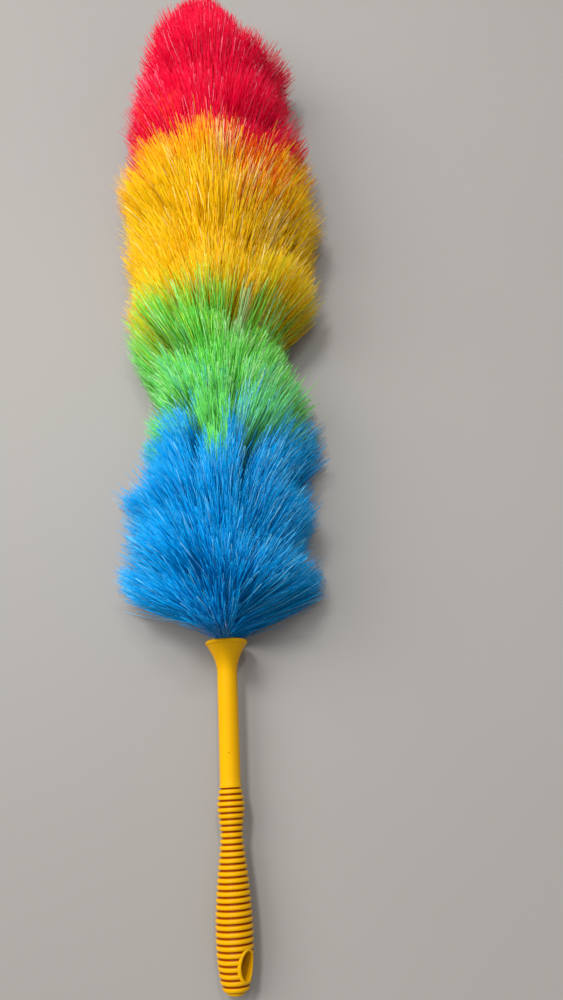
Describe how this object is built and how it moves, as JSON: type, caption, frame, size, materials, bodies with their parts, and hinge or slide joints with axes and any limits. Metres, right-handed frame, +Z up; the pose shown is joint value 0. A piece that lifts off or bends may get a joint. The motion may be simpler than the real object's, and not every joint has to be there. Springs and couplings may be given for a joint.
{
  "type": "feather duster",
  "caption": "Static duster with a flared, ribbed handle, a hanging hole, a bendable twisted wire core and a long head of synthetic fibres in four colour bands.",
  "frame": {"origin": "under the middle of the bounding box, on the surface that the duster lies on", "axes": "+Y from the end of the handle to the tip of the head, +Z up from the surface, +X to the right seen from the handle with +Z up"},
  "size_m": [0.1436, 0.6998, 0.0826],
  "materials": {
    "yellow_plastic": "gloss",
    "zinc_wire": "satin",
    "cap_plastic": "satin",
    "blue_fibre": "satin",
    "green_fibre": "satin",
    "yellow_fibre": "satin",
    "red_fibre": "satin"
  },
  "bodies": {
    "handle": {"handle_shell": "yellow_plastic", "core_plug": "yellow_plastic", "wire_tail_a": "zinc_wire", "wire_tail_b": "zinc_wire"},
    "head": {"core_wire_a": "zinc_wire", "core_wire_b": "zinc_wire", "tip_cap": "cap_plastic", "blue_fibre_row_1": "blue_fibre", "blue_fibre_row_2": "blue_fibre", "blue_fibre_row_3": "blue_fibre", "blue_fibre_row_4": "blue_fibre", "blue_fibre_row_5": "blue_fibre", "green_fibre_row_1": "green_fibre", "green_fibre_row_2": "green_fibre", "green_fibre_row_3": "green_fibre", "yellow_fibre_row_1": "yellow_fibre", "yellow_fibre_row_2": "yellow_fibre", "yellow_fibre_row_3": "yellow_fibre", "yellow_fibre_row_4": "yellow_fibre", "yellow_fibre_row_5": "yellow_fibre", "yellow_fibre_row_6": "yellow_fibre", "red_fibre_row_1": "red_fibre", "red_fibre_row_2": "red_fibre", "red_fibre_row_3": "red_fibre", "red_fibre_row_4": "red_fibre", "red_fibre_row_5": "red_fibre", "red_fibre_row_6": "red_fibre", "red_fibre_row_7": "red_fibre", "red_fibre_row_8": "red_fibre", "red_tip_tuft": "red_fibre"}
  },
  "joints": [
    {"name": "neck_bend", "type": "hinge", "parent": "handle", "child": "head", "pos_m": [0, -0.16695, 0.01368], "axis": [0, 0, 1], "range_deg": [-45, 45]}
  ]
}
